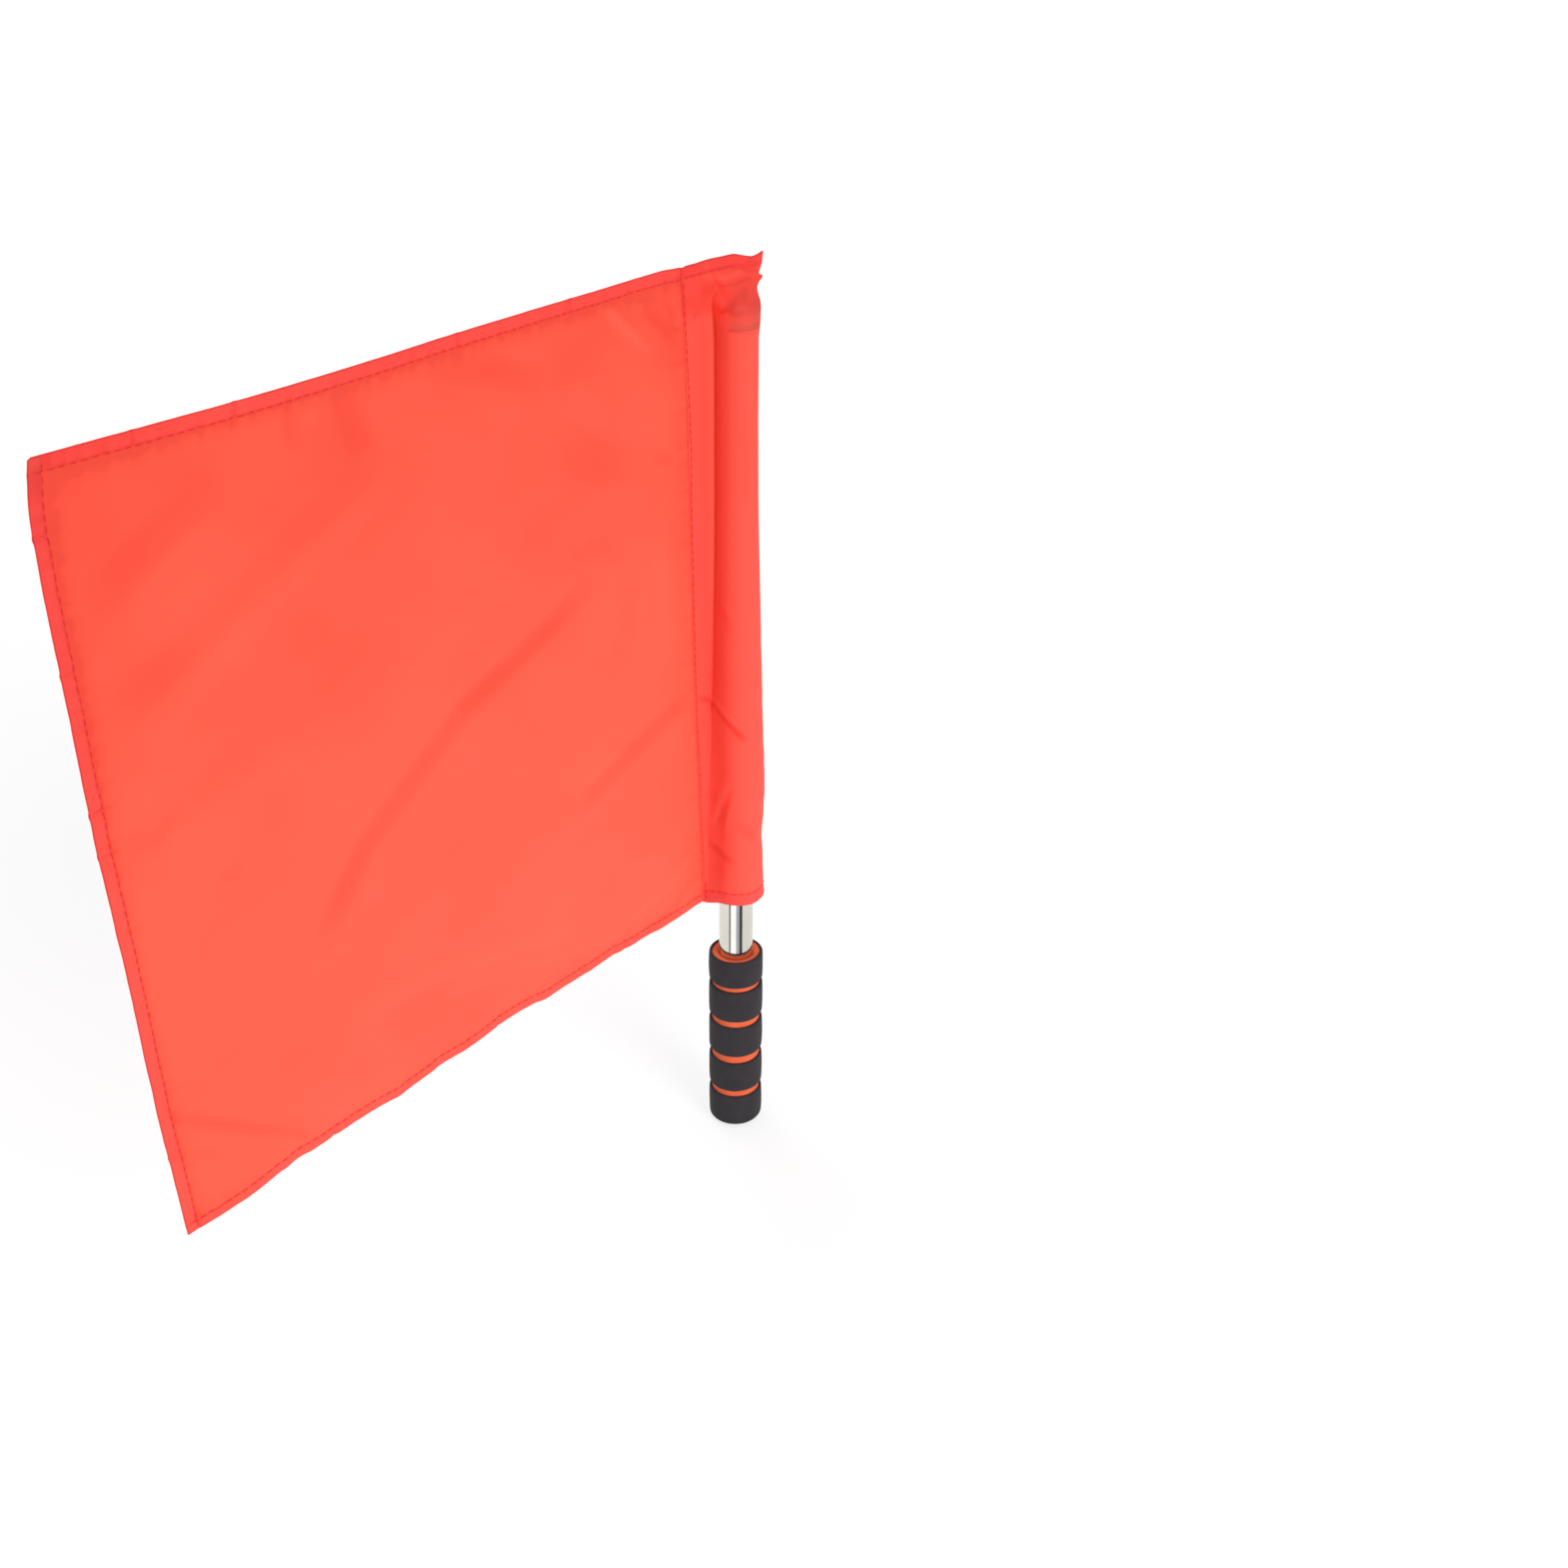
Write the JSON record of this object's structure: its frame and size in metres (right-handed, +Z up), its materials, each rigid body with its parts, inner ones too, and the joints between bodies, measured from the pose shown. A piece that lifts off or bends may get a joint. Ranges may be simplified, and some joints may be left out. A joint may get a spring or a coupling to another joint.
{
  "type": "linesman flag",
  "caption": "Assistant referee's hand flag: square red cloth sewn to a sleeve that turns on a steel tube, with a ringed foam grip.",
  "frame": {"origin": "centre of the closed lower end of the grip, on the pole's axis", "axes": "+Z up the pole towards its tip; the cloth reaches towards -X; the cloth's face looks towards -Y"},
  "size_m": [0.394, 0.0304, 0.4993],
  "materials": {
    "steel": "polished",
    "cap_plastic": "matt",
    "black_plastic": "matt",
    "orange_foam": "matt closed-cell foam",
    "black_foam": "matt closed-cell foam",
    "red_cloth": "plain-woven nylon, slight sheen",
    "red_thread": "sewing thread"
  },
  "bodies": {
    "handle": {"pole_tube": "steel", "tip_cap": "cap_plastic", "tube_end_plug": "black_plastic", "grip_core": "orange_foam", "grip_band_1": "black_foam", "grip_band_2": "black_foam", "grip_band_3": "black_foam", "grip_band_4": "black_foam", "grip_end_band": "black_foam"},
    "sleeve": {"pole_sleeve": "red_cloth", "sleeve_mouth_hem": "red_cloth", "sleeve_top_hem": "red_cloth", "hoist_seam_thread": "red_thread", "mouth_hem_thread": "red_thread", "sleeve_top_thread": "red_thread", "seam_bar_tack": "red_thread"},
    "panel": {"flag_panel": "red_cloth", "top_hem": "red_cloth", "fly_hem": "red_cloth", "bottom_hem": "red_cloth", "top_hem_thread": "red_thread", "fly_hem_thread": "red_thread", "bottom_hem_thread": "red_thread"}
  },
  "joints": [
    {"name": "flag_turn", "type": "hinge", "parent": "handle", "child": "sleeve", "pos_m": [0, 0, 0], "axis": [0, 0, 1], "continuous": true},
    {"name": "panel_fold", "type": "hinge", "parent": "sleeve", "child": "panel", "pos_m": [-0.0168, 0.01, 0.154], "axis": [-0.0342, 0, 0.9994], "range_deg": [-120, 70]}
  ]
}
